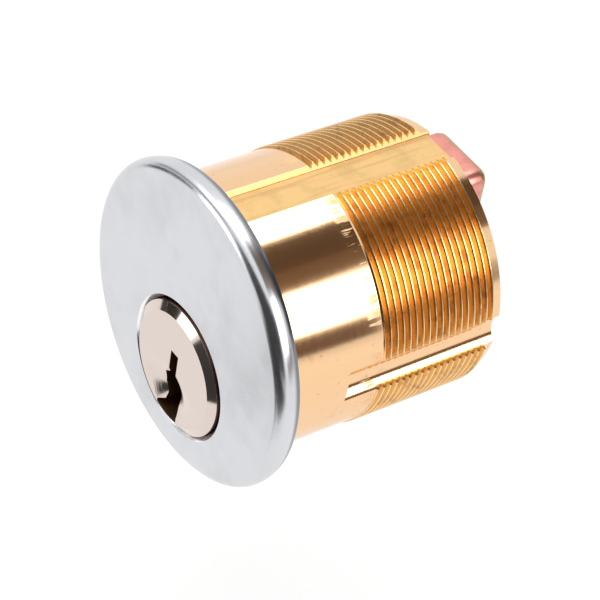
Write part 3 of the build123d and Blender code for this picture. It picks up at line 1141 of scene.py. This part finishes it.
class LOCK_OT_pins(bpy.types.Operator):
    """Turn the pointed key pins and the plain driver pins"""

    bl_idname = "lock_cylinder.pins"
    bl_label = "Pins"
    bl_options = {"REGISTER", "UNDO"}

    def execute(self, context):
        finishes = context.scene.lock_finishes
        kinds = (
            ("key_pin", key_pin_profile, pin_brass(finishes), "key_pin_brass"),
            ("driver_pin", driver_pin_profile, pin_nickel(finishes), "driver_nickel"),
        )
        for number in pin_numbers:
            for kind, profile_of, metal, slot in kinds:
                node = f"{kind}_{number}"
                low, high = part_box(node)
                profile = profile_of(context.scene.lock_pins, low.z, high.z)
                pin = turned(profile, pin_station(number), UP, 48)
                piece = new_object(f"{kind}_piece_{number}", pin, metal)
                smooth(piece)
                dress(piece, slot, node, node)
        return {"FINISHED"}


def coil_mesh(pins, foot, top):
    """Spring: a wire circle spun up in a helix, its ends closed."""
    bm = bmesh.new()
    middle = pins.coil_radius - pins.wire_radius
    upright = Matrix.Rotation(tau / 4, 4, "X")
    start = Matrix.Translation(foot + Vector((middle, 0, pins.wire_radius)))
    bmesh.ops.create_circle(bm, cap_ends=True, segments=8, radius=pins.wire_radius, matrix=start @ upright)
    steps_per_turn = 20
    steps = pins.coil_turns * steps_per_turn
    rise = (top - foot.z - 2 * pins.wire_radius) / steps
    bmesh.ops.spin(
        bm, geom=list(bm.faces) + list(bm.edges) + list(bm.verts), cent=foot, axis=UP,
        dvec=UP * rise, angle=tau * pins.coil_turns, steps=steps,
    )
    close_up(bm)
    return bm


class LOCK_OT_springs(bpy.types.Operator):
    """Wind the six springs over the driver pins"""

    bl_idname = "lock_cylinder.springs"
    bl_label = "Springs"
    bl_options = {"REGISTER", "UNDO"}

    def execute(self, context):
        pins = context.scene.lock_pins
        bronze = spring_bronze(context.scene.lock_finishes)
        for number in pin_numbers:
            low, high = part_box(f"pin_spring_{number}")
            station = pin_station(number)
            foot = Vector((0, station.y, low.z))
            piece = new_object(f"spring_coil_{number}", coil_mesh(pins, foot, high.z), bronze)
            piece.data.shade_smooth()
            dress(piece, "spring_bronze", "barrel", f"pin_spring_{number}")
            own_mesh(piece)
        return {"FINISHED"}


# Studio


def bearing(round_barrel, towards_rear):
    """Direction at an angle round the barrel from above and an angle towards its rear, in degrees."""
    round_barrel, towards_rear = radians(round_barrel), radians(towards_rear)
    level = cos(towards_rear)
    return Vector((level * sin(round_barrel), sin(towards_rear), level * cos(round_barrel)))


def facing(direction, distance, lengthwise=ALONG):
    """Placement that stands off in a direction, faces the cylinder and lies along lengthwise."""
    direction, lengthwise = Vector(direction).normalized(), Vector(lengthwise)
    long_side = (lengthwise - direction * direction.dot(lengthwise)).normalized()
    short_side = long_side.cross(direction)
    turn = Matrix((short_side, long_side, direction)).transposed().to_4x4()
    return Matrix.Translation(direction * distance) @ turn


def empty_tree(holder):
    """Node tree of a new material or world, cleared."""
    holder.use_nodes = True
    holder.node_tree.nodes.clear()
    return holder.node_tree


def dark_card(name, width, depth, shade, place):
    """Flat studio card in a matt paint, seen only in reflections."""
    bm = bmesh.new()
    bmesh.ops.create_grid(bm, x_segments=1, y_segments=1, size=0.5)
    bmesh.ops.scale(bm, vec=(width, depth, 1), verts=bm.verts)
    bmesh.ops.transform(bm, matrix=place, verts=bm.verts)
    paint = bpy.data.materials.new(name)
    tree = empty_tree(paint)
    glow = shader_node(tree, "ShaderNodeEmission", {"Color": (*shade, 1), "Strength": 1.0})
    shader_node(tree, "ShaderNodeOutputMaterial", {"Surface": glow.outputs[0]})
    card = new_object(name, bm, paint)
    card.visible_camera = False
    card.visible_diffuse = False
    card.visible_shadow = False
    return card


def softbox(name, width, depth, radiance, place):
    """Rectangular lamp with a plain even face."""
    data = bpy.data.lights.new(name, "AREA")
    data.shape = "RECTANGLE"
    data.size = width
    data.size_y = depth
    data.energy = radiance * width * depth * tau / 2
    lamp = bpy.data.objects.new(name, data)
    lamp.matrix_world = place
    lamp.visible_camera = False
    bpy.context.scene.collection.objects.link(lamp)


def bright_ray_mask(tree):
    """1 for camera, mirror and glass rays, else 0."""
    rays = shader_node(tree, "ShaderNodeLightPath").outputs
    return combine(tree, "MAXIMUM", rays["Is Camera Ray"], rays["Is Glossy Ray"], rays["Is Transmission Ray"])


def mixed_shader(tree, amount, first, second, output):
    """Mix two shaders by a linked amount into the tree's output."""
    mixed = shader_node(tree, "ShaderNodeMixShader", {0: amount, 1: first.outputs[0], 2: second.outputs[0]})
    shader_node(tree, output, {"Surface": mixed.outputs[0]})


def table_white():
    """White table: mostly its own white to the camera and mirrors, so that only a soft shadow shows."""
    material = bpy.data.materials.new("table_white")
    tree = empty_tree(material)
    surface = shader_node(tree, "ShaderNodeBsdfDiffuse", {"Color": (0.9, 0.9, 0.9, 1)})
    white = shader_node(tree, "ShaderNodeEmission", {"Color": (1, 1, 1, 1), "Strength": 1.0})
    amount = combine(tree, "MULTIPLY", bright_ray_mask(tree), 0.8)
    mixed_shader(tree, amount, surface, white, "ShaderNodeOutputMaterial")
    return material


def light_world(scene):
    """White surroundings for the camera and reflections, softer as a light."""
    scene.world = bpy.data.worlds.new("studio_world")
    tree = empty_tree(scene.world)
    lighting, seen = [
        shader_node(tree, "ShaderNodeBackground", {"Color": (1, 1, 1, 1), "Strength": strength})
        for strength in (0.8, 1.0)
    ]
    mixed_shader(tree, bright_ray_mask(tree), lighting, seen, "ShaderNodeOutputWorld")


def photo_camera(scene, stage):
    """Camera where the photograph was taken from."""
    data = bpy.data.cameras.new("photo_camera")
    data.lens = stage.lens
    data.sensor_width = stage.sensor
    data.dof.use_dof = False
    data.clip_start = 0.01
    camera = bpy.data.objects.new("photo_camera", data)
    turn = Euler(stage.camera_turn).to_matrix().to_4x4()
    camera.matrix_world = Matrix.Translation(stage.camera_place) @ turn
    scene.collection.objects.link(camera)
    scene.camera = camera


# Cards that lie along the barrel, as (name, width, depth, shade, degrees round the barrel from
# above, degrees towards the rear)
DARK_CARDS = (
    ("card_beside_strip", 0.142, 0.46, (0.10, 0.07, 0.048), 16, 33),
    ("card_beside_strip_edge", 0.078, 0.46, (0.17, 0.115, 0.08), 34.5, 33),
    ("card_beside_groove", 0.076, 0.22, (0.14, 0.09, 0.07), 86, 29),
    ("card_below_groove", 0.040, 0.20, (0.45, 0.42, 0.38), 157, 29),
    ("card_before_head", 0.60, 0.56, (0.06, 0.058, 0.058), 94, -60.5),
    ("card_behind_head", 0.15, 0.15, (0.10, 0.12, 0.15), 56, 79),
)
# Narrow cards before the head's left side, as (name, width, depth, shade, direction, lengthwise)
SLANTED_CARDS = (
    ("card_left_of_head", 0.063, 0.37, (0.28, 0.28, 0.29), (-0.72, -0.56, 0.36), (0.70, -0.55, 0.59)),
    ("card_left_of_plug", 0.092, 0.23, (0.04, 0.035, 0.03), (-0.80, -0.58, -0.08), (0.18, -0.28, 0.22)),
)
# Cards that lie on the table before the head, as (name, width, depth, place across, place along)
TABLE_CARDS = (
    ("card_on_table", 0.20, 0.30, 0.07, -0.21),
    ("card_before_entry", 0.03, 0.04, -0.0152, -0.067),
    ("card_left_on_table", 0.11, 0.08, -0.215, -0.12),
)
TABLE_CARD_SHADE = (0.05, 0.05, 0.05)
TABLE_CARD_LIFT = 0.0005
# Lamps, as (name, width, depth, radiance, degrees round the barrel from above, degrees towards
# the rear)
LAMPS = (
    ("lamp_over_barrel", 0.112, 0.38, 3.5, -10, 5),
    ("lamp_beside_barrel", 0.168, 0.24, 3.5, 60.5, 16),
    ("lamp_below_groove", 0.045, 0.20, 1.6, 148, 29),
    ("lamp_over_head", 0.11, 0.13, 1.6, -35, -24),
    ("lamp_before_plug", 0.115, 0.115, 2.6, -78, -61.3),
)


class LOCK_OT_stage(bpy.types.Operator):
    """Set up the table, lamps, cards, white surroundings and camera"""

    bl_idname = "lock_cylinder.stage"
    bl_label = "Stage"
    bl_options = {"REGISTER", "UNDO"}

    def execute(self, context):
        scene = context.scene
        stage = scene.lock_stage
        bm = bmesh.new()
        bmesh.ops.create_grid(bm, x_segments=1, y_segments=1, size=stage.floor_size / 2)
        bmesh.ops.translate(bm, verts=bm.verts, vec=UP * stage.floor_height)
        table = new_object("table", bm, table_white())
        cards = [
            dark_card(*card, facing(bearing(round_barrel, towards_rear), stage.card_distance))
            for *card, round_barrel, towards_rear in DARK_CARDS
        ]
        cards += [
            dark_card(*card, facing(direction, stage.card_distance, lengthwise))
            for *card, direction, lengthwise in SLANTED_CARDS
        ]
        height = stage.floor_height + TABLE_CARD_LIFT
        cards += [
            dark_card(*card, TABLE_CARD_SHADE, Matrix.Translation((across, along, height)))
            for *card, across, along in TABLE_CARDS
        ]
        for *lamp, round_barrel, towards_rear in LAMPS:
            softbox(*lamp, facing(bearing(round_barrel, towards_rear), stage.lamp_distance))
        light_world(scene)
        scene.view_settings.view_transform = "Standard"
        photo_camera(scene, stage)
        return {"FINISHED"}


class LOCK_PT_cylinder(bpy.types.Panel):
    """Pieces and sizes of the lock cylinder"""

    bl_label = "Lock Cylinder"
    bl_idname = "LOCK_PT_cylinder"
    bl_space_type = "VIEW_3D"
    bl_region_type = "UI"
    bl_category = "Lock Cylinder"

    def draw(self, context):
        layout = self.layout
        for operator in OPERATORS:
            layout.operator(operator.bl_idname)
        for name in SETTINGS:
            box = layout.box()
            settings = getattr(context.scene, name)
            for prop in settings.bl_rna.properties:
                if not prop.is_readonly and prop.identifier != "name":
                    box.prop(settings, prop.identifier)


OPERATORS = (
    LOCK_OT_head,
    LOCK_OT_barrel,
    LOCK_OT_cover,
    LOCK_OT_plug,
    LOCK_OT_cam,
    LOCK_OT_cam_screws,
    LOCK_OT_pins,
    LOCK_OT_springs,
    LOCK_OT_stage,
)
SETTINGS = {
    "lock_head": HeadSizes,
    "lock_bore": BoreSizes,
    "lock_barrel": BarrelSizes,
    "lock_cover": CoverSizes,
    "lock_plug": PlugSizes,
    "lock_cam": CamSizes,
    "lock_pins": PinSizes,
    "lock_finishes": Finishes,
    "lock_stage": StageSettings,
}


def register():
    for name, group in SETTINGS.items():
        bpy.utils.register_class(group)
        setattr(bpy.types.Scene, name, PointerProperty(type=group))
    for operator in OPERATORS:
        bpy.utils.register_class(operator)
    bpy.utils.register_class(LOCK_PT_cylinder)


def unregister():
    bpy.utils.unregister_class(LOCK_PT_cylinder)
    for operator in reversed(OPERATORS):
        bpy.utils.unregister_class(operator)
    for name, group in reversed(SETTINGS.items()):
        delattr(bpy.types.Scene, name)
        bpy.utils.unregister_class(group)


def main():
    """Make every piece and the stage."""
    register()
    bpy.ops.lock_cylinder.head()
    bpy.ops.lock_cylinder.barrel()
    bpy.ops.lock_cylinder.cover()
    bpy.ops.lock_cylinder.plug()
    bpy.ops.lock_cylinder.cam()
    bpy.ops.lock_cylinder.cam_screws()
    bpy.ops.lock_cylinder.pins()
    bpy.ops.lock_cylinder.springs()
    bpy.ops.lock_cylinder.stage()


if __name__ == "__main__":
    main()
